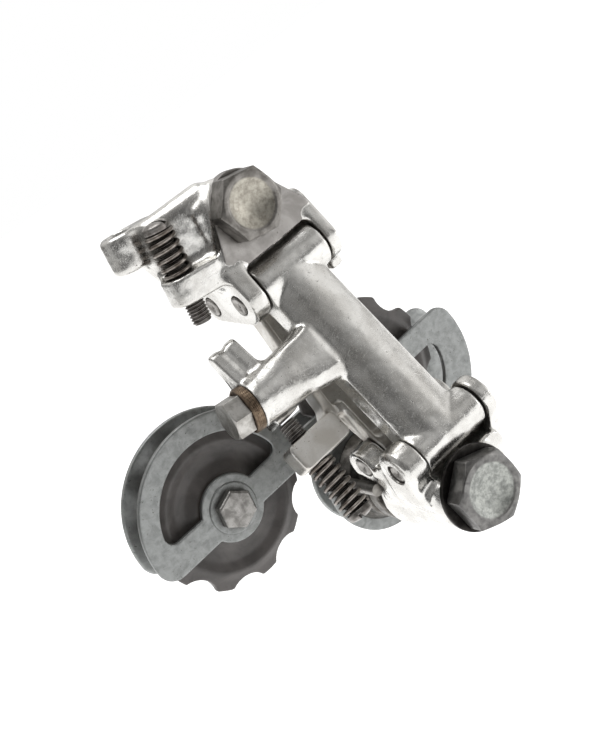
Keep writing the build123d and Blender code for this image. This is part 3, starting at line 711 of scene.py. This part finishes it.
floor_mesh = from_arrays("floor", [(-2, -2, 0), (2, -2, 0), (2, 2, 0), (-2, 2, 0)], [(0, 1, 2, 3)])
floor = bpy.data.objects.new("floor", floor_mesh)
floor.location.z = -0.19
pale = bpy.data.materials.new("floor")
pale.use_nodes = True
shader = pale.node_tree.nodes["Principled BSDF"]
shader.inputs["Base Color"].default_value = (0.9, 0.9, 0.9, 1)
shader.inputs["Roughness"].default_value = 0.9
shader.inputs["Emission Color"].default_value = (1, 1, 1, 1)
shader.inputs["Emission Strength"].default_value = 0.75
floor_mesh.materials.append(pale)
bpy.context.scene.collection.objects.link(floor)


def soft_box(name, direction, distance, size, power):
    """Area light that looks at the object from this direction."""
    lamp = bpy.data.lights.new(name, "AREA")
    lamp.shape = "RECTANGLE"
    lamp.size, lamp.size_y = size
    lamp.energy = power
    obj = bpy.data.objects.new(name, lamp)
    away = Vector(direction).normalized()
    facing_in = away.to_track_quat("Z", "Y").to_matrix().to_4x4()
    obj.matrix_world = Matrix.Translation(CENTRE + away * distance) @ facing_in
    bpy.context.scene.collection.objects.link(obj)


soft_box("key", UP * 1.0 - RIGHT * 0.7 + BACK * 0.35, 0.6, (0.45, 0.35), 1.4)
soft_box("rim", RIGHT * 1.0 + UP * 0.2 + BACK * 0.15, 0.6, (0.15, 0.5), 0.5)
soft_box("under", UP * -1.0 - RIGHT * 0.2 + BACK * 0.3, 0.6, (0.4, 0.2), 0.08)

# surroundings: a white tent with a dark opening around the camera, plain white where the camera sees it
world = bpy.data.worlds.new("tent")
bpy.context.scene.world = world
world.use_nodes = True
w = world.node_tree
w.nodes.clear()


def w_add(kind, **settings):
    node = w.nodes.new(kind)
    for key, value in settings.items():
        setattr(node, key, value)
    return node


coordinates = w_add("ShaderNodeTexCoord").outputs["Generated"]


def facing(direction, low, high, at_low, at_high):
    """Smooth step of how squarely a direction of the tent lies this way."""
    dot = w_add("ShaderNodeVectorMath", operation="DOT_PRODUCT")
    w.links.new(coordinates, dot.inputs[0])
    dot.inputs[1].default_value = Vector(direction).normalized()
    step = w_add("ShaderNodeMapRange", interpolation_type="SMOOTHSTEP")
    w.links.new(dot.outputs["Value"], step.inputs["Value"])
    for socket, value in zip(("From Min", "From Max", "To Min", "To Max"), (low, high, at_low, at_high)):
        step.inputs[socket].default_value = value
    return step.outputs["Result"]


def product(a, b):
    node = w_add("ShaderNodeMath", operation="MULTIPLY")
    w.links.new(a, node.inputs[0])
    w.links.new(b, node.inputs[1])
    return node.outputs[0]


opening = facing(BACK - UP * 0.1, 0.2, 0.8, 0.9, 0.34)
skyward = facing(UP * 1.0 + BACK * 0.2, -0.8, 0.8, 0.34, 1.0)
brightness = product(opening, skyward)
# uneven cloth, so that smooth metal has something to reflect
cloth = w_add("ShaderNodeTexNoise")
w.links.new(coordinates, cloth.inputs["Vector"])
cloth.inputs["Scale"].default_value = 1.9
cloth.inputs["Detail"].default_value = 2.0
uneven = w_add("ShaderNodeMapRange", interpolation_type="SMOOTHSTEP")
w.links.new(cloth.outputs["Fac"], uneven.inputs["Value"])
for socket, value in zip(("From Min", "From Max", "To Min", "To Max"), (0.38, 0.6, 0.45, 1.1)):
    uneven.inputs[socket].default_value = value
brightness = product(brightness, uneven.outputs["Result"])
tent = w_add("ShaderNodeBackground")
w.links.new(brightness, tent.inputs["Strength"])
tent.inputs["Color"].default_value = (1.0, 0.99, 0.975, 1)
plain = w_add("ShaderNodeBackground")
plain.inputs["Color"].default_value = (1, 1, 1, 1)
seen = w_add("ShaderNodeMixShader")
w.links.new(w_add("ShaderNodeLightPath").outputs["Is Camera Ray"], seen.inputs[0])
w.links.new(tent.outputs[0], seen.inputs[1])
w.links.new(plain.outputs[0], seen.inputs[2])
w.links.new(seen.outputs[0], w_add("ShaderNodeOutputWorld").inputs["Surface"])

bpy.context.scene.view_settings.view_transform = "Standard"
bpy.context.scene.view_settings.look = "None"
